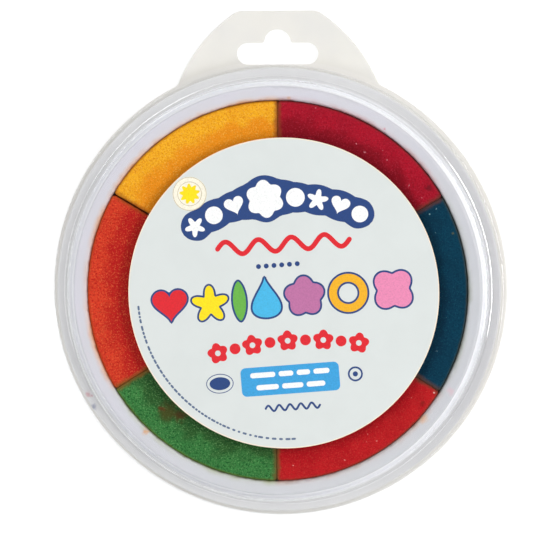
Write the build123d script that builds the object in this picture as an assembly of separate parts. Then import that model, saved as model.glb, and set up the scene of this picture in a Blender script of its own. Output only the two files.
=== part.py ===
from build123d import *
from math import cos, radians, sin, sqrt
import os

# A round ink pad with six colours, in millimetres.
# A moulded tray with a hang tab holds six foam wedges, and a clear lid with a flat brim lifts off it.
# +Z is up, out of the lid. +Y is towards the hang tab. The origin is on the axis of the case, on the
# surface that the tray stands on.

# Pads: foam wedges cut by hand, which lie side by side in a round well.
# Each starts at this angle from +X and runs counter-clockwise to where the next one starts.
pad_starts = {
    "crimson": 29.5,
    "yellow": 89.3,
    "orange": 148.8,
    "green": 210.8,
    "red": 269.2,
    "blue": 328.0,
}
pad_radius = 73.0
pad_thickness = 12.7
pad_corner_radius = 1.5
pad_tip_radius = 1.0
pad_gap = 0.3
pad_gap_to_wall = 0.6

# Tray: one moulding whose wall steps up from the foot to the shelf, and from the shelf to the deck
tray_wall = 1.4
floor_thickness = 1.6
deck_above_pads = 0.5
deck_width = 5.6
well_edge_radius = 1.5
deck_edge_radius = 1.2
shelf_height = 9.0
shelf_width = 6.8
shelf_edge_radius = 0.8
foot_width = 2.0
foot_edge_radius = 0.4
inside_corner_radius = 0.3

# Snap beads: the lid's bead passes under the one on the tray's collar
bead_height = 0.4
bead_length = 1.2
bead_flat = 0.3
collar_bead_above_shelf = 3.0
lid_bead_above_shelf = 1.6
bead_clearance = 0.25

# Hang tab, level with the foot, with a wide slot that has an arch in its middle for a peg
tab_reach = 19.5
tab_foot_half_width = 39.0
tab_top_half_width = 15.5
tab_side_bulge = 2.9
tab_corner_radius = 6.0
tab_foot_radius = 3.0
slot_width = 31.5
slot_height = 8.4
slot_arch_radius = 5.2
slot_corner_radius = 0.8
slot_gap_to_skirt = 0.8

# Lid
lid_wall = 1.0
lid_gap_to_collar = 1.3
lid_gap_to_shelf = 0.05
headroom = 2.7
lid_taper = 0.4
brim_overhang = 1.2
brim_edge_radius = 0.4
lid_shoulder_radius = 0.8
lid_foot_radius = 2.0

# Labels
label_thickness = 0.15
colour_ring_width = 13.0
front_label_shift = (2.7, -0.5)
back_label_size = (62.0, 34.0)
back_label_corner_radius = 3.0
back_label_distance = 38.0
label_pocket_depth = 0.3
label_pocket_gap = 0.5

# Radii and heights that follow
well_radius = pad_radius + pad_gap_to_wall
pad_top = floor_thickness + pad_thickness
deck_top = pad_top + deck_above_pads
collar_radius = well_radius + deck_width
skirt_radius = collar_radius + shelf_width
foot_radius = skirt_radius + foot_width
brim_radius = skirt_radius + brim_overhang
brim_bottom = shelf_height + lid_gap_to_shelf
lid_inside_top = pad_top + headroom
lid_top = lid_inside_top + lid_wall
lid_foot_inside = collar_radius + lid_gap_to_collar
lid_bead_radius = collar_radius + bead_height + bead_clearance
tab_foot_y = sqrt(foot_radius**2 - tab_foot_half_width**2)


def turned(points):
    """The solid turned about +Z by a closed outline of (radius, height, corner radius)."""
    with BuildPart() as body:
        with BuildSketch(Plane.XZ):
            with BuildLine():
                FilletPolyline(
                    *[(r, z) for r, z, _ in points],
                    radius=[corner for _, _, corner in points],
                    close=True,
                )
            make_face()
        revolve(axis=Axis.Z)
    return body.part


def bead(wall_radius, crest_radius, middle):
    """The corners of a bead on a wall, upwards: the crest stands at crest_radius, about the height middle."""
    return [
        (wall_radius, middle - bead_length / 2, 0),
        (crest_radius, middle - bead_flat / 2, 0),
        (crest_radius, middle + bead_flat / 2, 0),
        (wall_radius, middle + bead_length / 2, 0),
    ]


def tray_shell():
    """The stepped round tray, open to below between its well and its skirt, without its foot and tab."""
    well_outside = well_radius + tray_wall
    collar_inside = collar_radius - tray_wall
    skirt_inside = skirt_radius - tray_wall
    under_deck = deck_top - tray_wall
    under_shelf = shelf_height - tray_wall
    collar_bead = bead(collar_radius, collar_radius + bead_height, shelf_height + collar_bead_above_shelf)
    return turned(
        [
            (0, 0, 0),
            (well_outside, 0, inside_corner_radius),
            (well_outside, under_deck, inside_corner_radius),
            (collar_inside, under_deck, inside_corner_radius),
            (collar_inside, under_shelf, inside_corner_radius),
            (skirt_inside, under_shelf, inside_corner_radius),
            (skirt_inside, 0, 0),
            (skirt_radius, 0, 0),
            (skirt_radius, shelf_height, shelf_edge_radius),
            (collar_radius, shelf_height, inside_corner_radius),
            *collar_bead,
            (collar_radius, deck_top, deck_edge_radius),
            (well_radius, deck_top, well_edge_radius),
            (well_radius, floor_thickness, inside_corner_radius),
            (0, floor_thickness, 0),
        ]
    )


def tab_outline():
    """The tab's plan: a flat top, two bowed sides, and a straight base inside the foot."""
    top = foot_radius + tab_reach
    with BuildSketch() as outline:
        with BuildLine():
            SagittaArc((tab_foot_half_width, tab_foot_y), (tab_top_half_width, top), -tab_side_bulge)
            Line((tab_top_half_width, top), (-tab_top_half_width, top))
            SagittaArc((-tab_top_half_width, top), (-tab_foot_half_width, tab_foot_y), -tab_side_bulge)
            Line((-tab_foot_half_width, tab_foot_y), (tab_foot_half_width, tab_foot_y))
        make_face()
        fillet(outline.vertices().group_by(Axis.Y)[-1], tab_corner_radius)
    return outline.sketch


def hang_slot():
    """The slot's plan: a bar with round ends, and an arch on the middle of its upper edge."""
    middle = skirt_radius + slot_gap_to_skirt + slot_height / 2
    with BuildSketch() as slot:
        with Locations((0, middle)):
            SlotOverall(slot_width, slot_height)
        with Locations((0, middle + slot_height / 2)):
            Circle(slot_arch_radius)
        arch_feet = slot.vertices().sort_by(lambda corner: abs(corner.X))[:2]
        fillet(arch_feet, slot_corner_radius)
    return slot.sketch


def foot_and_tab():
    """The flat foot around the skirt with the hang tab on it, one plate as thick as the tray's wall."""
    with BuildPart() as plate:
        with BuildSketch() as plan:
            Circle(foot_radius)
            add(tab_outline())
            tab_feet = plan.vertices().sort_by(lambda corner: abs(corner.Y - tab_foot_y))[:2]
            fillet(tab_feet, tab_foot_radius)
            Circle(skirt_radius - tray_wall, mode=Mode.SUBTRACT)
            add(hang_slot(), mode=Mode.SUBTRACT)
        extrude(amount=tray_wall)
        rim = plate.faces().sort_by(Axis.Z)[-1].outer_wire().edges()
        fillet(rim, foot_edge_radius)
    return plate.part


def label_plan(grow=0.0):
    """The back label's outline, or with grow its pocket's, on the side of the floor away from the tab."""
    width, depth = back_label_size
    return Pos(0, -back_label_distance) * RectangleRounded(
        width + 2 * grow, depth + 2 * grow, back_label_corner_radius + grow
    )


def base_tray():
    pocket = extrude(label_plan(label_pocket_gap), label_pocket_depth)
    return tray_shell() + foot_and_tab() - pocket


def foam_pad(start, end):
    """One wedge of foam between two angles, with rounded corners, clear of the wedges on both sides."""
    half = radians((end - start) / 2)
    tip = pad_gap / 2 / sin(half)
    reach = 2 * pad_radius
    side = (tip + reach * cos(half), reach * sin(half))
    with BuildPart() as pad:
        with BuildSketch(Plane.XY.offset(floor_thickness)) as plan:
            Polygon((tip, 0), side, (side[0], -side[1]), align=None)
            Circle(pad_radius, mode=Mode.INTERSECT)
            corners = plan.vertices().sort_by(SortBy.DISTANCE)
            fillet(corners[-2:], pad_corner_radius)
            fillet(plan.vertices().sort_by(SortBy.DISTANCE)[0], pad_tip_radius)
        extrude(amount=pad_thickness)
    return pad.part.rotate(Axis.Z, (start + end) / 2)


def lid():
    """The clear lid: a flat top, a wall that widens a little downwards, and a brim on the tray's shelf."""
    foot_outside = lid_foot_inside + lid_wall
    top_outside = foot_outside - lid_taper
    lid_bead = bead(lid_foot_inside, lid_bead_radius, shelf_height + lid_bead_above_shelf)
    return turned(
        [
            (0, lid_inside_top, 0),
            (top_outside - lid_wall, lid_inside_top, inside_corner_radius),
            *reversed(lid_bead),
            (lid_foot_inside, brim_bottom, inside_corner_radius),
            (brim_radius, brim_bottom, inside_corner_radius),
            (brim_radius, brim_bottom + lid_wall, brim_edge_radius),
            (foot_outside, brim_bottom + lid_wall, lid_foot_radius),
            (top_outside, lid_top, lid_shoulder_radius),
            (0, lid_top, 0),
        ]
    )


def front_label():
    plan = Pos(*front_label_shift, lid_top) * Circle(pad_radius - colour_ring_width)
    return extrude(plan, label_thickness)


def back_label():
    plan = Pos(0, 0, label_pocket_depth - label_thickness) * label_plan()
    return extrude(plan, label_thickness)


nodes = {
    "base_tray": base_tray(),
    "lid": lid(),
    "front_label": front_label(),
    "back_label": back_label(),
}
starts = list(pad_starts.values())
ends = starts[1:] + [starts[0] + 360.0]
for colour, start, end in zip(pad_starts, starts, ends):
    nodes["foam_" + colour] = foam_pad(start, end)

os.makedirs("parts", exist_ok=True)
for name, solid in nodes.items():
    export_step(solid, "parts/" + name + ".step")
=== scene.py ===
import random
from collections import namedtuple
from math import atan2, cos, hypot, pi, radians, sin, tan, tau

import bmesh
import bpy
from mathutils import Matrix, Vector, noise


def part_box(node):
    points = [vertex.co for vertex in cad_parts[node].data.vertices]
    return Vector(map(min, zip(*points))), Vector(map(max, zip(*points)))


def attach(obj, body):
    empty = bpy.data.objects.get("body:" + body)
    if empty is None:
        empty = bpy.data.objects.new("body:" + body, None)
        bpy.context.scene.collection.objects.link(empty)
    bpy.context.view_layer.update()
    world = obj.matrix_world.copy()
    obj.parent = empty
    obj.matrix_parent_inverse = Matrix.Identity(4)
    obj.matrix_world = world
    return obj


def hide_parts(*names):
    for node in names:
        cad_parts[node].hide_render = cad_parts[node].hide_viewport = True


# A round ink pad: a moulded tray with six wedges of inked foam, under a clear lid with a printed label.
# Blender's unit is the metre. Sizes are written in millimetres times MM, and angles in degrees.
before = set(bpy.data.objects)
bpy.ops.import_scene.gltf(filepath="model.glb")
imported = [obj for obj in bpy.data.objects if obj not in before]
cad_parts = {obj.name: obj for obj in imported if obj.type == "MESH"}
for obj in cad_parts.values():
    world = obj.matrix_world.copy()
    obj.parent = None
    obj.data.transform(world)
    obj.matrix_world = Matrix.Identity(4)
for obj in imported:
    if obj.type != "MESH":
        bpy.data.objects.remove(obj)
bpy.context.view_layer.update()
MM = 0.001

# Camera: far off and almost overhead, a little towards the upper right of the picture
CAMERA_TILT = 6.5
CAMERA_AZIMUTH = 45.0
CAMERA_ROLL = 0.6
CAMERA_LENS = 400.0
CAMERA_SENSOR = 36.0
PICTURE_WIDTH = 213.1 * MM
LOOK_AT = Vector((-1.86, 5.23, 1.4)) * MM

# How many faces a turned piece has around the axis, and how many steps each arc of its outline has
LATHE_STEPS = 360
ARC_STEPS = 10

# Lid, in millimetres: its wall leans in a little upwards, with a snap bead inside its foot. The heights of
# the bead are above the lid's underside, and its two corner radii are those at the wall and at the crest.
LID_WALL = 1.0
LID_INSIDE = 80.5
LID_TAPER = 0.4
LID_BEAD_DEPTH = 0.65
LID_BEAD_FOOT = (0.95, 1.4)
LID_BEAD_HEAD = (1.7, 2.15)
LID_BEAD_CORNERS = (0.2, 0.15)
LID_INSIDE_CORNER = 0.3
LID_BRIM_CORNER = 0.4
LID_FOOT_CORNER = 2.0
LID_SHOULDER_CORNER = 0.8

# Lid's shader: the share of light that it mirrors straight on, edge on and at its rounded outer corners,
# the distance from the axis where those corners start, and how milky its walls are seen edge on. The tints
# are the shader's own values.
LID_MIRROR = 0.03
LID_GRAZING = 0.6
LID_CORNER_GLOSS = 0.22
LID_CORNER_START = (80.25 * MM, 80.45 * MM)
LID_ROUGHNESS = 0.07
LID_MILKINESS = 0.75
LID_TINT = (0.988, 0.990, 0.994, 1.0)
LID_MILK = (0.93, 0.94, 0.95, 1.0)

# Foam: squeezed a little wider than its CAD wedge, with rounded corners and edges. The edges by a seam are
# drawn in by a share of what the others are.
FOAM_VOXEL = 0.5 * MM
FOAM_SEAM_GAP = 0.02 * MM
OPEN_SEAM_GAP = 0.55 * MM
FOAM_EDGE = 0.6 * MM
FOAM_FOOT_EDGE = 0.4 * MM
SEAM_EDGE_SHARE = 0.12
FOAM_SPREAD = 0.5 * MM
FOAM_CORNER = 1.0 * MM
FOAM_TIP = 0.6 * MM
FOAM_SHIFT = Vector((-0.12, -0.08, 0.0)) * MM
SEAM_WOBBLE = 0.35 * MM
SEAM_WAVE = 16 * MM

# Foam's relief: the size of its swells, grain and pores, and how far each stands out or goes in. A pore's
# radius is a share of its size.
SWELL_SIZE, SWELL_HEIGHT = 9 * MM, 0.16 * MM
GRAIN_SIZE, GRAIN_HEIGHT = 1.6 * MM, 0.07 * MM
PORE_SIZE, PORE_RADIUS, PORE_DEPTH = 2.1 * MM, 0.38, 0.5 * MM

# Ink in the foam: where the painted shade over the middle ends, how far ink has wicked across a seam, and
# how far in from the wall the painted shade at the foam's edge starts and is darkest
SHADOW_TONE_END = (70 * MM, 76 * MM)
WICKED = (1.1 * MM, 3.4 * MM)
WALL_SHADE = (1.2 * MM, 0.3 * MM)

# How one colour of inked foam looks, as screen colours: the main colour, the shade in the pores, the
# painted shade over the middle in the deep colour of the label's shadow, the light grains, and the stain on
# the tray beside the foam, also painted as shade on the foam's edge, and further out. Then the strength of
# the grain, and the share of specks that show as stray lint.
Ink = namedtuple("Ink", "main shade soaked light rim halo grain lint")
INKS = {
    "crimson": Ink(
        main=(176, 16, 40),
        shade=(122, 8, 28),
        soaked=(132, 6, 24),
        light=(200, 56, 78),
        rim=(116, 40, 40),
        halo=(200, 150, 148),
        grain=0.6,
        lint=0.08,
    ),
    "yellow": Ink(
        main=(250, 182, 34),
        shade=(224, 132, 12),
        soaked=(240, 142, 20),
        light=(252, 202, 90),
        rim=(160, 86, 24),
        halo=(224, 160, 92),
        grain=0.9,
        lint=0.0,
    ),
    "orange": Ink(
        main=(222, 64, 38),
        shade=(180, 28, 22),
        soaked=(184, 18, 24),
        light=(238, 118, 68),
        rim=(156, 70, 26),
        halo=(222, 158, 96),
        grain=0.9,
        lint=0.0,
    ),
    "green": Ink(
        main=(62, 132, 66),
        shade=(18, 76, 34),
        soaked=(46, 84, 38),
        light=(114, 170, 100),
        rim=(96, 98, 40),
        halo=(178, 184, 140),
        grain=0.95,
        lint=0.0,
    ),
    "red": Ink(
        main=(194, 26, 32),
        shade=(150, 12, 22),
        soaked=(176, 12, 24),
        light=(216, 84, 66),
        rim=(120, 60, 42),
        halo=(202, 172, 154),
        grain=0.5,
        lint=0.07,
    ),
    "blue": Ink(
        main=(0, 57, 80),
        shade=(0, 38, 58),
        soaked=(0, 44, 66),
        light=(26, 92, 112),
        rim=(60, 64, 48),
        halo=(166, 170, 154),
        grain=0.55,
        lint=0.06,
    ),
}
COLOURS = list(INKS)
BETWEEN_YELLOW_AND_ORANGE = COLOURS.index("orange")

# Tray, as screen colours. The deck is lavender at the upper left of the picture and grey at the lower
# right, and the shelf is greyer at the right: painted shade. The plate, groove and foot tones are painted
# light.
PLATE_LIT_TONE = (226, 224, 218)
SHELF_LIT_TONE = (226, 225, 224)
SHELF_SHADED_TONE = (208, 207, 208)
DECK_LIT_TONE = (217, 215, 226)
DECK_SHADED_TONE = (207, 209, 214)
CLOUD_TONE = (214, 214, 214)
GROOVE_PAINTED_LIGHT = (250, 250, 252)
FOOT_PAINTED_LIGHT = (228, 226, 222)

# Where one of the tray's tones gives way to the next: places across the picture, heights, and distances
# from the axis. The groove is the gap between the deck and the lid's wall.
LOWER_RIGHT = (0.7, -0.7, 0.0)
DECK_FADE = (-40 * MM, 60 * MM)
SHELF_FADE = (20 * MM, 80 * MM)
PLATE_TOP = (1.6 * MM, 3.0 * MM)
DECK_BOTTOM = (12.0 * MM, 14.0 * MM)
GROOVE_INSIDE = (78.6 * MM, 79.1 * MM)
GROOVE_OUTSIDE = (81.0 * MM, 82.0 * MM)
GROOVE_TOP = (13.2 * MM, 14.2 * MM)
FOOT_INSIDE = (85.6 * MM, 86.2 * MM)
FOOT_OUTSIDE = (88.0 * MM, 89.0 * MM)
FOOT_TOP = (8.0 * MM, 8.6 * MM)
STAIN_BOTTOM = (12.6 * MM, 13.4 * MM)
STAIN_DARK_END = (73.9 * MM, 75.1 * MM)
STAIN_END = (74.4 * MM, 76.9 * MM)
STAIN_SEAM = 1.5 * MM

# Smudges and drops of ink: azimuth in degrees, distance from the axis, height and size in millimetres,
# screen colour, and strength. The heights are those of the tray's shelf and deck, and of the foam's top.
Mark = namedtuple("Mark", "azimuth distance height size colour strength")
SHELF, DECK, FOAM_TOP = 9.0, 14.8, 14.3
TRAY_MARKS = (
    Mark(208.4, 84.6, SHELF, 1.6, (208, 152, 158), 0.7),
    Mark(209.2, 83.6, SHELF, 0.6, (190, 110, 120), 0.7),
    Mark(212.0, 85.2, SHELF, 1.5, (140, 144, 168), 0.8),
    Mark(226.3, 74.6, DECK, 2.0, (222, 168, 118), 0.9),
    Mark(318.6, 74.6, DECK, 2.6, (226, 184, 148), 0.8),
    Mark(329.8, 77.2, DECK, 2.2, (230, 190, 200), 0.5),
    Mark(86.0, 74.6, DECK, 1.2, (214, 160, 120), 0.7),
    Mark(56.0, 75.2, DECK, 0.7, (214, 110, 130), 0.7),
)
FOAM_MARKS = {
    "green": (
        Mark(227.5, 63.0, FOAM_TOP, 5.5, (74, 70, 28), 0.8),
        Mark(225.0, 64.2, FOAM_TOP, 2.0, (100, 52, 26), 0.8),
        Mark(231.5, 61.5, FOAM_TOP, 3.6, (82, 56, 26), 0.8),
    ),
    "red": (
        Mark(326.7, 72.0, FOAM_TOP, 0.5, (236, 226, 214), 1.0),
        Mark(322.0, 70.5, FOAM_TOP, 1.6, (120, 30, 24), 0.6),
    ),
    "blue": (
        Mark(26.5, 66.0, FOAM_TOP, 0.45, (150, 196, 200), 0.9),
        Mark(18.0, 71.4, FOAM_TOP, 0.7, (96, 96, 60), 0.8),
    ),
    "crimson": (Mark(34.0, 71.0, FOAM_TOP, 2.2, (96, 22, 32), 0.7),),
}

# Labels: their paper, how far in from its edge the front one shows its core, and the ink on them, as screen
# colours. The front one is stuck on with a slight turn, and its navy outlines are OUTLINE millimetres wide.
PAPER_FRONT = (212, 217, 215)
PAPER_EDGE = (240, 226, 204)
PAPER_BACK = (226, 226, 222)
PAPER_CORE = (0.45 * MM, 0.1 * MM)
INK_LAYER = 0.02 * MM
PRINT_TURN = 4.1
OUTLINE = 0.75
PRINT_NAVY = (35, 66, 125)
PRINT_RED = (222, 30, 42)
PRINT_WHITE = (246, 247, 246)
PRINT_YELLOW = (253, 224, 10)
PRINT_GREEN = (104, 178, 70)
PRINT_SKY = (70, 182, 228)
PRINT_PLUM = (188, 112, 160)
PRINT_AMBER = (242, 178, 32)
PRINT_PINK = (232, 138, 178)
PRINT_BLUE = (58, 160, 218)
PRINT_CREAM = (247, 241, 222)
PRINT_TAN = (190, 176, 140)
PRINT_GREY = (92, 110, 140)
BACK_DOTS = {
    "crimson": (176, 24, 56),
    "yellow": (246, 190, 40),
    "orange": (236, 98, 44),
    "green": (70, 150, 74),
    "red": (214, 36, 40),
    "blue": (20, 92, 138),
}

# Studio: its walls' light and how dark it is overhead, and the heights of direction between which it fades
SKY_LIGHT, SKY_DARK = 0.63, 0.02
SKY_FADE = (0.50, 0.95)


def linear(colour):
    """A colour given as 0-255 screen values, as the RGBA that shaders take."""
    channels = [c / 255 for c in colour]
    return (*[c / 12.92 if c <= 0.04045 else ((c + 0.055) / 1.055) ** 2.4 for c in channels], 1.0)


class Graph:
    """A material's node tree, with short ways to add nodes and join them."""

    def __init__(self, name):
        self.material = bpy.data.materials.new(name)
        self.material.use_nodes = True
        self.tree = self.material.node_tree
        self.shader = self.tree.nodes["Principled BSDF"]
        self.output = self.tree.nodes["Material Output"]
        self.place = self.add("ShaderNodeTexCoord").outputs["Object"]

    def add(self, kind, **settings):
        node = self.tree.nodes.new(kind)
        for name, value in settings.items():
            setattr(node, name, value)
        return node

    def put(self, socket, value):
        """Sets an input to a value, or joins another node's output to it."""
        if isinstance(value, bpy.types.NodeSocket):
            self.tree.links.new(value, socket)
        else:
            socket.default_value = value

    def math(self, operation, *values, clamp=False):
        node = self.add("ShaderNodeMath", operation=operation, use_clamp=clamp)
        for socket, value in zip(node.inputs, values):
            self.put(socket, value)
        return node.outputs[0]

    def times(self, first, *others):
        """The product of several values."""
        for other in others:
            first = self.math("MULTIPLY", first, other)
        return first

    def vector(self, operation, *values):
        """A vector operation's node, whose result is one of its outputs."""
        node = self.add("ShaderNodeVectorMath", operation=operation)
        for socket, value in zip(node.inputs, values):
            self.put(socket, value)
        return node

    def noise(self, size, detail=2.0, roughness=0.5):
        """Noise whose features are about as large as size, from 0 to 1."""
        node = self.add("ShaderNodeTexNoise")
        self.put(node.inputs["Vector"], self.place)
        node.inputs["Scale"].default_value = 1 / size
        node.inputs["Detail"].default_value = detail
        node.inputs["Roughness"].default_value = roughness
        return node.outputs["Fac"]

    def noise_vector(self, size):
        """Noise as a direction that changes from place to place, about the length of one."""
        node = self.add("ShaderNodeTexNoise")
        self.put(node.inputs["Vector"], self.place)
        node.inputs["Scale"].default_value = 1 / size
        return node.outputs["Color"]

    def cells(self, size, place=None):
        """The node of round cells about as large as size."""
        node = self.add("ShaderNodeTexVoronoi")
        self.put(node.inputs["Vector"], place or self.place)
        node.inputs["Scale"].default_value = 1 / size
        return node

    def random_of(self, cells):
        """A random number for each cell."""
        node = self.add("ShaderNodeSeparateColor")
        self.put(node.inputs[0], cells.outputs["Color"])
        return node.outputs[0]

    def ramp(self, value, low, high, start=0.0, end=1.0):
        """A smooth step from start to end while the value goes from low to high."""
        node = self.add("ShaderNodeMapRange", interpolation_type="SMOOTHSTEP")
        self.put(node.inputs["Value"], value)
        node.inputs["From Min"].default_value = low
        node.inputs["From Max"].default_value = high
        node.inputs["To Min"].default_value = start
        node.inputs["To Max"].default_value = end
        return node.outputs["Result"]

    def mix(self, factor, first, second):
        """A mix of two colours: the first where the factor is 0, and the second where it is 1."""
        node = self.add("ShaderNodeMix", data_type="RGBA")
        self.put(node.inputs[0], factor)
        self.put(node.inputs[6], first)
        self.put(node.inputs[7], second)
        return node.outputs[2]

    def blend(self, factor, first, second):
        """A mix of two shaders, given as nodes."""
        node = self.add("ShaderNodeMixShader")
        self.put(node.inputs[0], factor)
        self.put(node.inputs[1], first.outputs[0])
        self.put(node.inputs[2], second.outputs[0])
        return node

    def bump(self, height, depth, below=None):
        """Relief of that depth in metres on the surface, on top of any relief below."""
        node = self.add("ShaderNodeBump")
        self.put(node.inputs["Height"], height)
        node.inputs["Distance"].default_value = depth
        if below:
            self.put(node.inputs["Normal"], below)
        return node.outputs["Normal"]

    def from_axis(self, centre=(0, 0)):
        """The distance from a vertical line through centre."""
        flat = self.vector("MULTIPLY", self.place, (1, 1, 0)).outputs[0]
        return self.vector("DISTANCE", flat, (*centre, 0)).outputs["Value"]

    def uneven(self, measure, size, depth, detail=2.0, roughness=0.5):
        """A measure that noise about as large as size makes larger by up to depth."""
        return self.math("MULTIPLY_ADD", self.noise(size, detail, roughness), depth, measure)

    def spot(self, tone, mark):
        """A ragged mark on the tone."""
        turn = radians(mark.azimuth)
        centre = Vector((mark.distance * cos(turn), mark.distance * sin(turn), mark.height)) * MM
        size = mark.size * MM
        off = self.vector("DISTANCE", self.place, centre).outputs["Value"]
        ragged = self.uneven(off, 0.7 * size, 1.6 * size, 3.0, 0.6)
        share = self.ramp(ragged, 0.9 * size, 1.8 * size, mark.strength, 0.0)
        return self.mix(share, tone, linear(mark.colour))

    def facing_up(self):
        """The surface's own upward share: one on a floor, nought on a wall."""
        node = self.add("ShaderNodeSeparateXYZ")
        self.put(node.inputs[0], self.add("ShaderNodeNewGeometry").outputs["Normal"])
        return node.outputs["Z"]

    def along(self, direction):
        """How far the point lies along a direction."""
        return self.vector("DOT_PRODUCT", self.place, direction).outputs["Value"]

    def left_of(self, azimuth):
        """How far the point lies to the left of a radius, seen outwards from the axis."""
        return self.along((-sin(radians(azimuth)), cos(radians(azimuth)), 0))


# ---------------------------------------------------------------- the frame's measures


def reach(node):
    """The radius of the circle about the axis that a node just fits in."""
    return max(hypot(v.co.x, v.co.y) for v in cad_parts[node].data.vertices)


def sides(node):
    """The two azimuths in degrees between which a wedge lies, counter-clockwise."""
    low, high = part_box(node)
    middle = (low + high) / 2
    turn = atan2(middle.y, middle.x)
    outer = [v.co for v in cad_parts[node].data.vertices if hypot(v.co.x, v.co.y) > pad_radius / 2]
    turns = [(atan2(p.y, p.x) - turn + pi) % tau - pi + turn for p in outer]
    return min(turns) * 180 / pi, max(turns) * 180 / pi


def following(index):
    """The number of the next wedge counter-clockwise, and of the seam between it and this one."""
    return (index + 1) % len(COLOURS)


pad_radius = reach("foam_red")
pad_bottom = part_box("foam_red")[0].z
pad_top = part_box("foam_red")[1].z
label_low, label_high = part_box("front_label")
label_centre = (label_low + label_high) / 2
label_radius = (label_high.x - label_low.x) / 2
back_low, back_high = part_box("back_label")

# The azimuth of the seam before each wedge, halfway between the two wedges that meet there
seams = []
for index, colour in enumerate(COLOURS):
    before = sides("foam_" + COLOURS[index - 1])[1]
    after = sides("foam_" + colour)[0]
    seams.append(after - ((after - before + 180) % 360 - 180) / 2)


# ---------------------------------------------------------------- materials


def foam_material(index):
    """Open foam full of one colour of ink, browner by its neighbours, with painted shade in its middle and
    by the wall.
    """
    ink = INKS[COLOURS[index]]
    main, shade, soaked, light = linear(ink.main), linear(ink.shade), linear(ink.soaked), linear(ink.light)
    g = Graph("inked_foam_" + COLOURS[index])
    fine = g.noise(0.75 * MM, 3.0, 0.7)
    other = g.noise(0.6 * MM, 3.0, 0.75)
    tone = g.mix(g.ramp(g.noise(9 * MM, 2.0), 0.35, 0.7, 0.0, 0.28), main, shade)
    # Painted shade: the middle is tinted to the deep colour the foam takes in the label's shadow, fading
    # out by the wall
    middle = g.uneven(g.from_axis(), 6 * MM, 14 * MM, 4.0)
    tone = g.mix(g.ramp(middle, *SHADOW_TONE_END, 0.9, 0.0), tone, soaked)
    tone = g.mix(g.ramp(fine, 0.47, 0.64, 0.0, ink.grain), tone, shade)
    tone = g.mix(g.ramp(other, 0.52, 0.66, 0.0, 0.65 * ink.grain), tone, light)
    if ink.lint:
        pale = linear([255 - (255 - c) * 0.55 for c in ink.light])
        tone = g.mix(stray_lint(g, ink.lint), tone, pale)
    # Where two colours touch, each wicks a little into the other and the two go brown
    for seam, neighbour in ((index, index - 1), (following(index), following(index))):
        off = g.uneven(g.math("ABSOLUTE", g.left_of(seams[seam])), 2.5 * MM, 2.4 * MM, 3.0)
        brown = g.mix(0.5, linear(INKS[COLOURS[neighbour]].rim), linear(ink.rim))
        tone = g.mix(g.ramp(off, *WICKED, 0.9, 0.0), tone, brown)
    # Painted shade: the foam's edge by the wall is drawn darker, in the brown of the ink stain there
    rim = g.uneven(g.from_axis(), 1.8 * MM, -1.2 * MM, 3.0, 0.6)
    wall_shade = g.ramp(rim, pad_radius - WALL_SHADE[0], pad_radius - WALL_SHADE[1], 0.0, 0.6)
    tone = g.mix(wall_shade, tone, linear(ink.rim))
    for mark in FOAM_MARKS.get(COLOURS[index], ()):
        tone = g.spot(tone, mark)
    g.put(g.shader.inputs["Base Color"], tone)
    g.put(g.shader.inputs["Roughness"], g.ramp(fine, 0.3, 0.7, 0.45, 0.75))
    g.shader.inputs["Specular IOR Level"].default_value = 0.08
    pores = g.cells(0.9 * MM)
    relief = g.bump(g.ramp(pores.outputs["Distance"], 0.05, 0.5), 0.06 * MM)
    g.put(g.shader.inputs["Normal"], g.bump(fine, 0.08 * MM, relief))
    return g.material


def stray_lint(g, share):
    """Short bent specks, scattered over a share of the surface's cells."""
    bend = 3 * MM
    bent = g.vector("MULTIPLY_ADD", g.noise_vector(2.2 * MM), (bend, bend, bend), g.place).outputs[0]
    specks = g.cells(1.7 * MM, bent)
    rare = g.ramp(g.random_of(specks), 1 - share, 1 - share + 0.05)
    return g.times(g.ramp(specks.outputs["Distance"], 0.04, 0.24, 0.9, 0.0), rare)


def tray_tone(g, height, out):
    """The tray's clean plastic: warm and cool stretches, painted light and shade for how light comes
    through its walls or over them.
    """
    # Painted shade: the shelf is drawn greyer at the right of the picture
    side = g.ramp(g.along((1, 0, 0)), *SHELF_FADE)
    shelf = g.mix(side, linear(SHELF_LIT_TONE), linear(SHELF_SHADED_TONE))
    # Painted light and shade: the plate on the table is drawn warm for the light that comes through it, and
    # the hollow walls above it greyer
    tone = g.mix(g.ramp(height, *PLATE_TOP), linear(PLATE_LIT_TONE), shelf)
    # Painted shade: the deck is drawn lighter at the upper left of the picture and greyer at the lower
    # right
    deck = g.mix(g.ramp(g.along(LOWER_RIGHT), *DECK_FADE), linear(DECK_LIT_TONE), linear(DECK_SHADED_TONE))
    tone = g.mix(g.ramp(height, *DECK_BOTTOM, 0.0, 0.7), tone, deck)
    tone = g.mix(g.ramp(g.noise(18 * MM, 3.0), 0.35, 0.7, 0.0, 0.3), tone, linear(CLOUD_TONE))
    # Painted light: the walls in the groove between the deck and the lid's wall are drawn near white, to
    # lift the shade that falls there
    groove_light = g.times(
        g.ramp(out, *GROOVE_INSIDE),
        g.ramp(out, *GROOVE_OUTSIDE, 1.0, 0.0),
        g.ramp(height, *GROOVE_TOP, 1.0, 0.0),
    )
    # Painted light: the foot under the lid's brim, where the brim shades it, is drawn in a lighter warm
    # tone
    foot = g.times(
        g.ramp(out, *FOOT_INSIDE),
        g.ramp(height, *FOOT_TOP, 1.0, 0.0),
        g.ramp(out, *FOOT_OUTSIDE, 1.0, 0.0),
    )
    tone = g.mix(groove_light, tone, linear(GROOVE_PAINTED_LIGHT))
    return g.mix(foot, tone, linear(FOOT_PAINTED_LIGHT))


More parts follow.
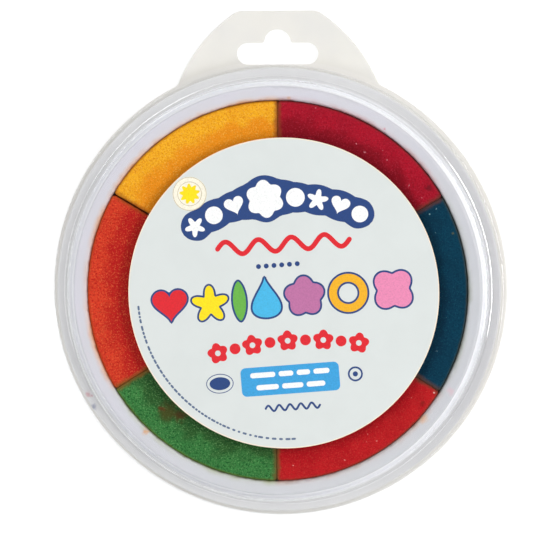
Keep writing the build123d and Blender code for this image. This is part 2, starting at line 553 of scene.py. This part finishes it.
def stained(g, tone, height, out):
    """The tone with the ink left on the edge of the well, dark at the foam and tan further out."""
    stain = linear(INKS[COLOURS[-1]].rim)
    spread = linear(INKS[COLOURS[-1]].halo)
    for index, colour in enumerate(COLOURS):
        after = g.ramp(g.left_of(seams[index]), -STAIN_SEAM, STAIN_SEAM)
        before = g.ramp(g.left_of(seams[following(index)]), -STAIN_SEAM, STAIN_SEAM, 1.0, 0.0)
        within = g.times(after, before)
        stain = g.mix(within, stain, linear(INKS[colour].rim))
        spread = g.mix(within, spread, linear(INKS[colour].halo))
    ragged = g.uneven(out, 2.2 * MM, 1.4 * MM, 3.0, 0.6)
    edge = g.ramp(height, *STAIN_BOTTOM)
    patches = g.ramp(g.noise(11 * MM, 2.0), 0.38, 0.66, 0.2, 0.75)
    crusts = g.ramp(g.noise(5 * MM, 3.0), 0.35, 0.62, 0.25, 0.95)
    far = g.times(g.ramp(ragged, *STAIN_END, 1.0, 0.0), patches, edge)
    near = g.times(g.ramp(ragged, *STAIN_DARK_END, 1.0, 0.0), crusts, edge)
    return g.mix(near, g.mix(far, tone, spread), stain)


def plastic_material():
    """Natural polypropylene, satin and a little milky, with ink on the edge of the well."""
    g = Graph("natural_polypropylene")
    height = g.along((0, 0, 1))
    out = g.from_axis()
    tone = stained(g, tray_tone(g, height, out), height, out)
    for mark in TRAY_MARKS:
        tone = g.spot(tone, mark)
    g.put(g.shader.inputs["Base Color"], tone)
    g.put(g.shader.inputs["Roughness"], g.ramp(g.noise(6 * MM, 3.0), 0.3, 0.7, 0.34, 0.48))
    g.shader.inputs["IOR"].default_value = 1.49
    g.shader.inputs["Subsurface Weight"].default_value = 0.12
    g.shader.inputs["Subsurface Radius"].default_value = (1.2 * MM, 1.2 * MM, 1.1 * MM)
    g.shader.inputs["Subsurface Scale"].default_value = 1.0
    relief = g.bump(g.noise(0.35 * MM, 2.0), 0.008 * MM)
    g.put(g.shader.inputs["Normal"], g.bump(g.noise(14 * MM, 1.0), 0.05 * MM, relief))
    return g.material


def clear_material():
    """Clear polystyrene as a thin sheet: what is behind shows unbent, and gloss grows towards its edges."""
    g = Graph("clear_polystyrene")
    g.tree.nodes.remove(g.shader)
    away = g.add("ShaderNodeLayerWeight")
    away.inputs["Blend"].default_value = 0.5
    edge_on = away.outputs["Facing"]
    # The rounded outer corners are polished, and the inner wall behind them doesn't show
    upright = g.math("ABSOLUTE", g.facing_up())
    leaning = g.times(g.ramp(upright, 0.82, 0.88), g.ramp(upright, 0.95, 0.985, 1.0, 0.0))
    corner = g.times(leaning, g.ramp(g.from_axis(), *LID_CORNER_START))
    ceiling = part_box("lid")[1].z - LID_WALL * MM
    outside = g.ramp(g.from_axis(), (LID_INSIDE + 0.02) * MM, (LID_INSIDE + 0.08) * MM)
    outside = g.math("MAXIMUM", outside, g.ramp(g.along((0, 0, 1)), ceiling - 0.1 * MM, ceiling))
    mirror = g.math("MULTIPLY_ADD", g.math("POWER", edge_on, 5.0), LID_GRAZING, LID_MIRROR)
    mirror = g.math("ADD", mirror, g.times(corner, LID_CORNER_GLOSS), clamp=True)
    gloss = g.add("ShaderNodeBsdfAnisotropic")
    gloss.inputs["Roughness"].default_value = LID_ROUGHNESS
    g.put(gloss.inputs["Normal"], g.bump(g.noise(20 * MM, 1.0), 0.01 * MM))
    clear = g.add("ShaderNodeBsdfTransparent")
    clear.inputs["Color"].default_value = LID_TINT
    sheet = g.blend(g.times(mirror, outside), clear, gloss)
    # Walls seen edge on pipe light and look milky
    milky = g.add("ShaderNodeBsdfTranslucent")
    milky.inputs["Color"].default_value = LID_MILK
    surface = g.blend(g.times(g.ramp(edge_on, 0.80, 0.93, 0.0, LID_MILKINESS), outside), sheet, milky)
    g.put(g.output.inputs["Surface"], surface.outputs[0])
    return g.material


def paper_material(name, colour, edge=None):
    """Coated label paper. The cut edge of a round label shows a warm core."""
    g = Graph(name)
    cloud = g.noise(12 * MM, 3.0)
    fibre = g.noise(0.6 * MM, 4.0, 0.7)
    tone = g.mix(g.ramp(cloud, 0.3, 0.7, 0.0, 0.5), linear(colour), linear([c - 5 for c in colour]))
    tone = g.mix(g.ramp(fibre, 0.55, 0.8, 0.0, 0.25), tone, linear([c - 9 for c in colour]))
    if edge:
        out = g.uneven(g.from_axis((label_centre.x, label_centre.y)), 1.5 * MM, 0.25 * MM)
        rim = g.ramp(out, label_radius - PAPER_CORE[0], label_radius - PAPER_CORE[1])
        tone = g.mix(rim, tone, linear(edge))
    g.put(g.shader.inputs["Base Color"], tone)
    g.put(g.shader.inputs["Roughness"], g.ramp(fibre, 0.3, 0.7, 0.42, 0.55))
    g.put(g.shader.inputs["Normal"], g.bump(fibre, 0.012 * MM))
    return g.material


def ink_material(name, colour):
    """Printing ink on the label: an even film with the faint mottle of offset print."""
    g = Graph(name)
    mottle = g.noise(0.5 * MM, 2.0, 0.6)
    dark = linear([c * 0.93 for c in colour])
    g.put(g.shader.inputs["Base Color"], g.mix(g.ramp(mottle, 0.35, 0.75), linear(colour), dark))
    g.put(g.shader.inputs["Roughness"], g.ramp(mottle, 0.3, 0.7, 0.32, 0.42))
    g.put(g.shader.inputs["Normal"], g.bump(mottle, 0.004 * MM))
    return g.material


def floor_material():
    """A white table, lit from within a little so that it shows as white as the photograph's background."""
    g = Graph("white_table")
    tone = g.mix(g.noise(60 * MM, 2.0), (0.52, 0.52, 0.52, 1.0), (0.50, 0.50, 0.50, 1.0))
    g.put(g.shader.inputs["Base Color"], tone)
    g.shader.inputs["Roughness"].default_value = 0.7
    g.shader.inputs["Specular IOR Level"].default_value = 0.2
    g.shader.inputs["Emission Color"].default_value = (1, 1, 1, 1)
    g.shader.inputs["Emission Strength"].default_value = 0.56
    return g.material


# ---------------------------------------------------------------- meshes


def new_piece(name, mesh, material, body):
    """A shown piece of the object, which takes its finish from a slot and moves with a body."""
    piece = bpy.data.objects.new(name, mesh)
    bpy.context.scene.collection.objects.link(piece)
    mesh.materials.clear()
    mesh.materials.append(material)
    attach(piece, body)
    return piece


def cut_line(seam, distance):
    """How far a hand-cut seam strays from its radius, in metres, at a distance from the middle."""
    # Each seam follows its own line through the noise
    return SEAM_WOBBLE * noise.noise(Vector((distance / SEAM_WAVE, seam * 7.3, 0.5)))


def wedge_outline(index, inset):
    """A wedge's plan as (x, y) points, counter-clockwise from its tip, drawn in from its sides by inset."""
    first, last = index, following(index)
    half = radians((seams[last] - seams[first]) % 360) / 2
    rim = pad_radius + FOAM_SPREAD - inset
    side_steps, corner_steps, rim_steps = 24, 4, 40

    def side(seam, hand):
        """The points along one side, outwards: left of its seam where hand is 1, right of it where -1."""
        azimuth = radians(seams[seam])
        out = Vector((cos(azimuth), sin(azimuth)))
        inward = Vector((-sin(azimuth), cos(azimuth))) * hand
        opening = OPEN_SEAM_GAP if seam == BETWEEN_YELLOW_AND_ORANGE else FOAM_SEAM_GAP
        gap = opening / 2 + inset * SEAM_EDGE_SHARE
        start = gap / tan(half) + FOAM_TIP
        end = rim - FOAM_CORNER
        points = []
        for step in range(side_steps + 1):
            along = start + (end - start) * step / side_steps
            points.append(out * along + inward * (gap + hand * cut_line(seam, along)))
        strayed = hand * cut_line(seam, end)
        for step in range(1, corner_steps + 1):
            turn = step / corner_steps * pi / 2
            across = gap + strayed + FOAM_CORNER * (1 - cos(turn))
            points.append(out * (end + FOAM_CORNER * sin(turn)) + inward * across)
        return points

    one, other = side(first, 1), side(last, -1)
    begin = atan2(one[-1].y, one[-1].x)
    sweep = (atan2(other[-1].y, other[-1].x) - begin) % tau
    turns = [begin + sweep * step / rim_steps for step in range(1, rim_steps)]
    return one + [Vector((rim * cos(t), rim * sin(t))) for t in turns] + other[::-1]


def foam_block(index):
    """A soft-edged block on a wedge's plan, as a mesh that stands in the well."""
    edge_steps = 4
    levels = [(pad_bottom, FOAM_FOOT_EDGE), (pad_bottom + FOAM_FOOT_EDGE, 0.0)]
    for step in range(edge_steps + 1):
        turn = step / edge_steps * pi / 2
        levels.append((pad_top - FOAM_EDGE * (1 - sin(turn)), FOAM_EDGE * (1 - cos(turn))))
    bm = bmesh.new()
    rings = []
    for height, inset in levels:
        rings.append([bm.verts.new((p.x, p.y, height)) for p in wedge_outline(index, inset)])
    for lower, upper in zip(rings, rings[1:]):
        for a in range(len(lower)):
            b = (a + 1) % len(lower)
            bm.faces.new((lower[a], lower[b], upper[b], upper[a]))
    bm.faces.new(rings[0][::-1])
    bm.faces.new(rings[-1])
    mesh = bpy.data.meshes.new("pad_" + COLOURS[index])
    bm.to_mesh(mesh)
    bm.free()
    return mesh


def foam_pad(index):
    """One wedge of foam with a lightly quilted, porous skin."""
    colour = COLOURS[index]
    name = "pad_" + colour
    material = foam_material(index)
    piece = new_piece(name, foam_block(index), material, "base")
    voxels = piece.modifiers.new("voxels", "REMESH")
    voxels.mode = "VOXEL"
    voxels.voxel_size = FOAM_VOXEL
    voxels.use_smooth_shade = True
    bpy.context.view_layer.update()
    shaped = bpy.data.meshes.new_from_object(piece.evaluated_get(bpy.context.evaluated_depsgraph_get()))
    piece.modifiers.clear()
    piece.data = shaped
    shaped.name = name
    rumple(shaped, index)
    shaped.transform(Matrix.Translation(FOAM_SHIFT))
    shaped.materials.clear()
    shaped.materials.append(material)
    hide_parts("foam_" + colour)


def rumple(mesh, index):
    """Gives a foam mesh slow swells and small pores, strongest on its top and different on each wedge."""
    offset = Vector((index * 0.31, index * 0.17, 0.0))
    moves = []
    for vertex in mesh.vertices:
        swell = noise.noise(vertex.co / SWELL_SIZE + offset) * SWELL_HEIGHT
        grain = noise.fractal(vertex.co / GRAIN_SIZE + offset, 0.8, 2.0, 2) * GRAIN_HEIGHT
        distance = noise.voronoi(vertex.co / PORE_SIZE + offset)[0][0]
        pore = -max(0.0, PORE_RADIUS - distance) * PORE_DEPTH
        moves.append(vertex.normal * (swell + grain + pore) * max(0.0, vertex.normal.z))
    for vertex, move in zip(mesh.vertices, moves):
        vertex.co += move
        vertex.co.z = max(vertex.co.z, pad_bottom)


def rounded(corners):
    """A closed outline through (radius, height, corner radius) in millimetres, with arcs at its corners."""
    outline = []
    for index, (r, z, corner) in enumerate(corners):
        here = Vector((r, z))
        if not corner:
            outline.append(here)
            continue
        back = (Vector(corners[index - 1][:2]) - here).normalized()
        on = (Vector(corners[(index + 1) % len(corners)][:2]) - here).normalized()
        half = back.angle(on) / 2
        centre = here + (back + on).normalized() * corner / sin(half)
        begin, end = here + back * corner / tan(half) - centre, here + on * corner / tan(half) - centre
        turn = begin.angle_signed(end)
        for step in range(ARC_STEPS + 1):
            outline.append(centre + Matrix.Rotation(-turn * step / ARC_STEPS, 2) @ begin)
    return outline


def lathe(name, corners):
    """A closed smooth solid turned about the axis."""
    outline = rounded(corners)
    bm = bmesh.new()
    rings = []
    for r, z in outline:
        # A point on the axis closes the surface
        if r == 0:
            rings.append([bm.verts.new((0, 0, z * MM))])
            continue
        turns = [tau * step / LATHE_STEPS for step in range(LATHE_STEPS)]
        rings.append([bm.verts.new((r * cos(t) * MM, r * sin(t) * MM, z * MM)) for t in turns])
    for lower, upper in zip(rings, rings[1:]):
        for a in range(LATHE_STEPS):
            b = (a + 1) % LATHE_STEPS
            if len(lower) == 1:
                bm.faces.new((lower[0], upper[b], upper[a]))
            elif len(upper) == 1:
                bm.faces.new((lower[a], lower[b], upper[0]))
            else:
                bm.faces.new((lower[a], lower[b], upper[b], upper[a]))
    bmesh.ops.recalc_face_normals(bm, faces=bm.faces)
    for face in bm.faces:
        face.smooth = True
    mesh = bpy.data.meshes.new(name)
    bm.to_mesh(mesh)
    bm.free()
    return mesh


def build_lid():
    """The clear lid as one smooth turned wall, the same size as the CAD one."""
    low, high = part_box("lid")
    bottom, top, brim = low.z / MM, high.z / MM, high.x / MM
    foot = LID_INSIDE + LID_WALL
    shoulder = foot - LID_TAPER
    crest = LID_INSIDE - LID_BEAD_DEPTH
    corners = [
        (0, top - LID_WALL, 0),
        (shoulder - LID_WALL, top - LID_WALL, LID_INSIDE_CORNER),
        (LID_INSIDE, bottom + LID_BEAD_HEAD[1], LID_BEAD_CORNERS[0]),
        (crest, bottom + LID_BEAD_HEAD[0], LID_BEAD_CORNERS[1]),
        (crest, bottom + LID_BEAD_FOOT[1], LID_BEAD_CORNERS[1]),
        (LID_INSIDE, bottom + LID_BEAD_FOOT[0], LID_BEAD_CORNERS[0]),
        (LID_INSIDE, bottom, LID_INSIDE_CORNER),
        (brim, bottom, LID_INSIDE_CORNER),
        (brim, bottom + LID_WALL, LID_BRIM_CORNER),
        (foot, bottom + LID_WALL, LID_FOOT_CORNER),
        (shoulder, top, LID_SHOULDER_CORNER),
        (0, top, 0),
    ]
    piece = new_piece("clear_lid", lathe("clear_lid", corners), clear_material(), "lid")
    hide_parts("lid")


# ---------------------------------------------------------------- printed shapes, in millimetres


def placed(points, x=0.0, y=0.0, turn=0.0):
    """Points turned about their origin and then moved."""
    c, s = cos(radians(turn)), sin(radians(turn))
    return [(x + px * c - py * s, y + px * s + py * c) for px, py in points]


def grown(points, by):
    """A closed counter-clockwise outline moved outwards by a distance, without the loops in its valleys."""
    moved = []
    count = len(points)
    for index in range(count):
        before, after = points[index - 1], points[(index + 1) % count]
        along, across = after[0] - before[0], after[1] - before[1]
        length = hypot(along, across)
        x, y = points[index]
        moved.append((x + across / length * by, y - along / length * by))
    clear = 0.97 * abs(by)
    return [(x, y) for x, y in moved if min(hypot(x - px, y - py) for px, py in points) > clear]


def polar(radius, count=96):
    """A closed outline whose distance from its origin is a function of the angle in radians."""
    turns = [tau * step / count for step in range(count)]
    return [(radius(t) * cos(t), radius(t) * sin(t)) for t in turns]


def circle(radius, count=48):
    return polar(lambda t: radius, count)


def oval(width, height):
    return [(x * width / 2, y * height / 2) for x, y in circle(1.0, 64)]


def star(radius, points=5, depth=0.26):
    return polar(lambda t: radius * (1 - depth + depth * cos(points * (t - pi / 2))), 120)


def flower(radius, petals, depth=0.25):
    """A ring of round petals with soft valleys between them, the first one at the top."""
    return polar(lambda t: radius * (1 - depth + depth * hypot(cos(petals * (t - pi / 2) / 2), 0.25)), 288)


def heart(size):
    """The usual heart curve, which is 32 units wide."""
    points = []
    for step in range(96):
        t = tau * step / 96
        x = 16 * sin(t) ** 3
        y = 13 * cos(t) - 5 * cos(2 * t) - 2 * cos(3 * t) - cos(4 * t)
        points.append((-x * size / 32, (y + 2.5) * size / 32))
    return points


def leaf(width, height):
    """A leaf with a point at its top and bottom."""
    points = []
    for step in range(64):
        t = tau * step / 64
        points.append((-width / 2 * sin(t) * abs(sin(t)) ** 0.35, height / 2 * cos(t)))
    return points


def drop(width, height):
    """A drop with its point at the top. The factor brings its widest part to the width."""
    points = []
    for step in range(80):
        t = tau * step / 80
        points.append((-width / 2 * sin(t) * (1 - cos(t)) * 0.77, height / 2 * cos(t)))
    return points


def rounded_box(width, height, corner):
    steps = 8
    points = []
    for side_x, side_y, start in ((1, 1, 0), (-1, 1, 90), (-1, -1, 180), (1, -1, 270)):
        x, y = side_x * (width / 2 - corner), side_y * (height / 2 - corner)
        for step in range(steps + 1):
            t = radians(start + step * 90 / steps)
            points.append((x + corner * cos(t), y + corner * sin(t)))
    return points


def stroke(line, thickness):
    """A round-ended stroke along a line of points."""
    half = thickness / 2
    left, right = [], []
    for index, (x, y) in enumerate(line):
        ax, ay = line[max(index - 1, 0)]
        bx, by = line[min(index + 1, len(line) - 1)]
        length = hypot(bx - ax, by - ay)
        nx, ny = -(by - ay) / length, (bx - ax) / length
        left.append((x + nx * half, y + ny * half))
        right.append((x - nx * half, y - ny * half))

    def cap(at, before):
        heading = atan2(at[1] - before[1], at[0] - before[0])
        turns = [heading - pi / 2 + pi * step / 8 for step in range(1, 8)]
        return [(at[0] + half * cos(t), at[1] + half * sin(t)) for t in turns]

    return right + cap(line[-1], line[-2]) + left[::-1] + cap(line[0], line[1])


def on_arc(radius, centre_y, across):
    """The place on a wide arch at a distance across it, and the turn in degrees of what stands there."""
    turn = across / radius
    return radius * sin(turn), centre_y + radius * cos(turn), -turn * 180 / pi


def patch(name, outlines, colour, layer, top, turn, centre, body, upwards=1):
    """A thin film of ink: closed outlines in millimetres, where one inside another is a hole."""
    # The filled curve is one unit thick, and is then scaled to the film's thickness
    curve = bpy.data.curves.new(name, "CURVE")
    curve.dimensions = "2D"
    curve.fill_mode = "BOTH"
    curve.extrude = 0.5
    for outline in outlines:
        spline = curve.splines.new("POLY")
        spline.points.add(len(outline) - 1)
        for point, (x, y) in zip(spline.points, outline):
            point.co = (x, y, 0.0, 1.0)
        spline.use_cyclic_u = True
    source = bpy.data.objects.new(name + "_outline", curve)
    bpy.context.scene.collection.objects.link(source)
    bpy.context.view_layer.update()
    mesh = bpy.data.meshes.new_from_object(source.evaluated_get(bpy.context.evaluated_depsgraph_get()))
    bpy.data.objects.remove(source)
    mesh.name = name
    thickness = INK_LAYER * layer
    lift = Matrix.Translation((centre[0], centre[1], top + upwards * thickness / 2))
    flat = Matrix.Diagonal((MM, MM * upwards, thickness, 1.0))
    mesh.transform(lift @ Matrix.Rotation(radians(turn), 4, "Z") @ flat)
    bm = bmesh.new()
    bm.from_mesh(mesh)
    bmesh.ops.remove_doubles(bm, verts=bm.verts, dist=0.001 * MM)
    bmesh.ops.recalc_face_normals(bm, faces=bm.faces)
    bm.to_mesh(mesh)
    bm.free()
    new_piece(name, mesh, ink_material(name, colour), body)


# ---------------------------------------------------------------- front label, in millimetres


def navy_band():
    """A scalloped band along a wide arch, and the white shapes on it, the middle one the largest."""
    arch, middle = 62.2, -25.2
    half_length = 39.0
    steps = 240
    shapes = {
        -33.6: star(4.0),
        -25.0: circle(3.4),
        -16.2: heart(7.6),
        -4.2: flower(7.3, 6),
        7.6: circle(3.6),
        16.2: star(4.2),
        25.0: heart(7.4),
        33.4: circle(3.2),
    }
    white = []
    for across, shape in shapes.items():
        x, y, turn = on_arc(arch, middle, across)
        white.append(placed(shape, x, y, turn))

    def half_width(across):
        nearest = min(abs(across - place) for place in shapes)
        bulge = 3.2 * max(0.0, cos(min(1.0, abs(across + 4.2) / 11) * pi / 2))
        return 5.0 + bulge + 0.9 * cos(min(1.0, nearest / 5.2) * pi / 2)

    upper, lower = [], []
    for step in range(steps + 1):
        across = half_length * (2 * step / steps - 1)
        turn = across / arch
        wide = half_width(across)
        past = (abs(across) - (half_length - wide)) / wide
        wide *= max(0.0, 1 - max(0.0, past) ** 2) ** 0.5
        upper.append(((arch + wide) * sin(turn), middle + (arch + wide) * cos(turn)))
        lower.append(((arch - wide) * sin(turn), middle + (arch - wide) * cos(turn)))
    return lower + upper[-2:0:-1], white


def row_of_shapes():
    """Seven shapes in a row, each as its outline, any hole in it, and its colour."""
    row = -1.7
    return {
        "red": ([placed(heart(13.4), -44.1, row)], PRINT_RED),
        "yellow": ([placed(star(7.2), -28.6, row - 0.4)], PRINT_YELLOW),
        "green": ([placed(leaf(5.0, 15.2), -17.2, row)], PRINT_GREEN),
        "sky": ([placed(drop(11.0, 15.4), -6.9, row + 0.6)], PRINT_SKY),
        "plum": ([placed(flower(7.6, 5, 0.28), 8.0, row)], PRINT_PLUM),
        "amber": ([placed(circle(7.4), 24.9, row), placed(circle(4.3), 24.9, row)], PRINT_AMBER),
        "pink": ([placed(flower(8.2, 4, 0.36), 42.3, row, 45)], PRINT_PINK),
    }


def small_marks():
    """Six dots, an oval with a ring round it, a dot with a ring round it, and a wavy line."""
    marks = [placed(circle(0.95, 24), -1.3 + (step - 2.5) * 3.0, 11.0) for step in range(6)]
    for width, height in ((10.6, 7.6), (10.0, 7.0), (8.0, 5.0)):
        marks.append(placed(oval(width, height), -27.4, -33.0))
    marks += [placed(circle(radius, 32), 25.1, -33.1) for radius in (2.9, 2.2, 1.0)]
    wave = [(-10.5 + 21.0 * step / 90, -44.0 + 1.1 * sin(step / 90 * 5 * tau)) for step in range(91)]
    return marks + [stroke(wave, 0.8)]


def edge_dashes():
    """A line of fine dashes along the lower left of the label's edge, as uneven as small print."""
    random.seed(6)
    edge, turn = 56.4, 181.0
    dashes = []
    while turn < 270.0:
        length = random.uniform(0.15, 1.3)
        parts = [radians(turn + length * part / 3) for part in range(4)]
        dashes.append(stroke([(edge * cos(t), edge * sin(t)) for t in parts], 0.8))
        turn += length + random.choice((1.1, 1.1, 1.1, 1.8))
    return dashes


def red_marks():
    """A wavy stroke under the band, and an arc of small flowers with dots between them."""
    wave = [(-24.0 + 51.0 * step / 120, 18.9 + 2.5 * sin(step / 120 * 4 * tau)) for step in range(121)]
    marks = [stroke(wave, 1.9)]
    for step in range(9):
        x, y, turn = on_arc(132.0, -150.4, -27.4 + 55.0 * step / 8)
        if step % 2 == 0:
            marks += [placed(flower(4.0, 5, 0.32), x, y, turn), placed(circle(1.1, 24), x, y)]
        else:
            marks.append(placed(circle(2.1, 32), x, y, turn))
    return marks


def bars_on_box():
    """Two rows of short white bars on the blue box."""
    bars = []
    for y, ends in ((-30.9, (-16.0, -5.0, 2.0, 8.5, 16.0)), (-35.7, (-14.0, -4.0, 5.5, 14.0))):
        for start, end in zip(ends, ends[1:]):
            bars.append(placed(rounded_box(end - start - 1.3, 2.0, 0.95), (start + end) / 2 - 0.1, y))
    return bars


def build_front_label():
    """The picture side of the label: stamped shapes in the pad's own colours, with no lettering."""
    centre = (label_centre.x, label_centre.y)

    def printed(name, outlines, colour, layer=1):
        patch(name, outlines, colour, layer, label_high.z, PRINT_TURN, centre, "lid")

    band, white = navy_band()
    fills = row_of_shapes()
    outlined = [grown(outlines[0], OUTLINE) for outlines, _ in fills.values()]
    holes = [grown(hole, -OUTLINE) for outlines, _ in fills.values() for hole in outlines[1:]]
    printed("print_navy", [band] + outlined + holes + small_marks(), PRINT_NAVY)
    printed("print_white", white + bars_on_box(), PRINT_WHITE, 2)
    printed("print_dashes", edge_dashes(), PRINT_GREY)
    printed("print_red", red_marks(), PRINT_RED)
    printed("print_blue", [placed(rounded_box(38.1, 11.1, 2.0), -0.1, -33.3)], PRINT_BLUE)
    for name, (outlines, colour) in fills.items():
        printed("print_shape_" + name, outlines, colour, 2)

    # Round emblem at the upper left: a small sun on cream
    x, y = -33.0, 41.0
    printed("print_emblem_disc", [placed(circle(6.6, 64), x, y)], PRINT_CREAM)
    rings = [placed(circle(radius, 64), x, y) for radius in (6.5, 6.3, 4.7, 4.5)]
    printed("print_emblem_rings", rings, PRINT_TAN, 2)
    printed("print_emblem_sun", [placed(star(4.0, 9, 0.16), x, y)], PRINT_YELLOW, 2)


# ---------------------------------------------------------------- back label


def build_back_label():
    """The plain sticker under the tray: a frame line, six colour dots and a few bars."""
    centre = ((back_low.x + back_high.x) / 2, (back_low.y + back_high.y) / 2)
    width = (back_high.x - back_low.x) / MM
    height = (back_high.y - back_low.y) / MM

    def printed(name, outlines, colour):
        patch(name, outlines, colour, 1, back_low.z, 0, centre, "base", upwards=-1)

    lines = [rounded_box(width - 4, height - 4, 2.0), rounded_box(width - 4.8, height - 4.8, 1.6)]
    for y, length in ((-4.5, 44), (-7.5, 38), (-10.5, 26)):
        lines.append(placed(rounded_box(length, 1.1, 0.5), 0, y))
    printed("print_back_lines", lines, PRINT_NAVY)
    for index, colour in enumerate(COLOURS):
        dot = placed(circle(2.8), (index - 2.5) * 8.6, 5.5)
        printed("print_back_dot_" + colour, [dot], BACK_DOTS[colour])


# ---------------------------------------------------------------- stage


def floor():
    """A wide table, a hair under the foot so that the two don't flicker."""
    mesh = bpy.data.meshes.new("floor")
    half = 6.0
    below = -0.05 * MM
    corners = [(-half, -half, below), (half, -half, below), (half, half, below), (-half, half, below)]
    mesh.from_pydata(corners, [], [(0, 1, 2, 3)])
    mesh.materials.append(floor_material())
    piece = bpy.data.objects.new("floor", mesh)
    bpy.context.scene.collection.objects.link(piece)


def softbox(name, azimuth, elevation, distance, size, power, colour=(1.0, 1.0, 1.0)):
    """A rectangular lamp that faces the pad from a direction given in degrees from +X."""
    data = bpy.data.lights.new(name, "AREA")
    data.shape = "RECTANGLE"
    data.size, data.size_y = size
    data.energy = power
    data.color = colour
    lamp = bpy.data.objects.new(name, data)
    level = cos(radians(elevation))
    aim = Vector((level * cos(radians(azimuth)), level * sin(radians(azimuth)), sin(radians(elevation))))
    lamp.location = aim * distance
    lamp.rotation_mode = "QUATERNION"
    lamp.rotation_quaternion = aim.to_track_quat("Z", "Y")
    lamp.visible_camera = False
    bpy.context.scene.collection.objects.link(lamp)


def lights():
    """Four wide lamps, and a thin one for the line on the lid. Distances and sizes are in metres."""
    softbox("key", 8.0, 44.0, 1.3, (0.95, 0.28), 7.6, (1.0, 0.995, 0.985))
    softbox("fill", 165.0, 60.0, 1.5, (1.3, 0.6), 5.6, (0.97, 0.98, 1.0))
    softbox("low_fill", 275.0, 60.0, 1.5, (1.2, 0.6), 4.8, (0.98, 0.985, 1.0))
    softbox("high_fill", 75.0, 60.0, 1.5, (2.6, 0.6), 5.2)
    softbox("rim_line", 160.0, 50.0, 1.5, (1.6, 0.04), 1.2)


def sky():
    """A studio that is bright around the horizon and dark overhead, where the lid would mirror it."""
    world = bpy.data.worlds.new("studio")
    bpy.context.scene.world = world
    world.use_nodes = True
    tree = world.node_tree
    place = tree.nodes.new("ShaderNodeTexCoord")
    split = tree.nodes.new("ShaderNodeSeparateXYZ")
    fade = tree.nodes.new("ShaderNodeMapRange")
    fade.interpolation_type = "SMOOTHSTEP"
    fade.inputs["From Min"].default_value, fade.inputs["From Max"].default_value = SKY_FADE
    fade.inputs["To Min"].default_value = SKY_LIGHT
    fade.inputs["To Max"].default_value = SKY_DARK
    tree.links.new(place.outputs["Generated"], split.inputs[0])
    tree.links.new(split.outputs["Z"], fade.inputs["Value"])
    background = tree.nodes["Background"]
    background.inputs["Color"].default_value = (1.0, 1.0, 1.0, 1.0)
    tree.links.new(fade.outputs["Result"], background.inputs["Strength"])


def camera():
    """The camera at the photograph's angle, with its picture as wide as PICTURE_WIDTH where it looks."""
    tilt, azimuth, roll = radians(CAMERA_TILT), radians(CAMERA_AZIMUTH), radians(CAMERA_ROLL)
    back = Vector((sin(tilt) * cos(azimuth), sin(tilt) * sin(azimuth), cos(tilt)))
    right = Vector((0, 1, 0)).cross(back).normalized()
    up = back.cross(right)
    turned_right = right * cos(roll) - up * sin(roll)
    turned_up = up * cos(roll) + right * sin(roll)
    data = bpy.data.cameras.new("camera")
    data.lens = CAMERA_LENS
    data.sensor_width = CAMERA_SENSOR
    eye = bpy.data.objects.new("camera", data)
    axes = Matrix((turned_right, turned_up, back)).transposed()
    place = LOOK_AT + back * (PICTURE_WIDTH * CAMERA_LENS / CAMERA_SENSOR)
    eye.matrix_world = Matrix.Translation(place) @ axes.to_4x4()
    bpy.context.scene.collection.objects.link(eye)
    bpy.context.scene.camera = eye


# ---------------------------------------------------------------- build

for index in range(len(COLOURS)):
    foam_pad(index)

for node, material in (
    ("base_tray", plastic_material()),
    ("front_label", paper_material("label_paper_front", PAPER_FRONT, PAPER_EDGE)),
    ("back_label", paper_material("label_paper_back", PAPER_BACK)),
):
    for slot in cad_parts[node].material_slots:
        slot.material = material

build_lid()
build_front_label()
build_back_label()
floor()
lights()
sky()
camera()
bpy.context.scene.view_settings.view_transform = "Standard"
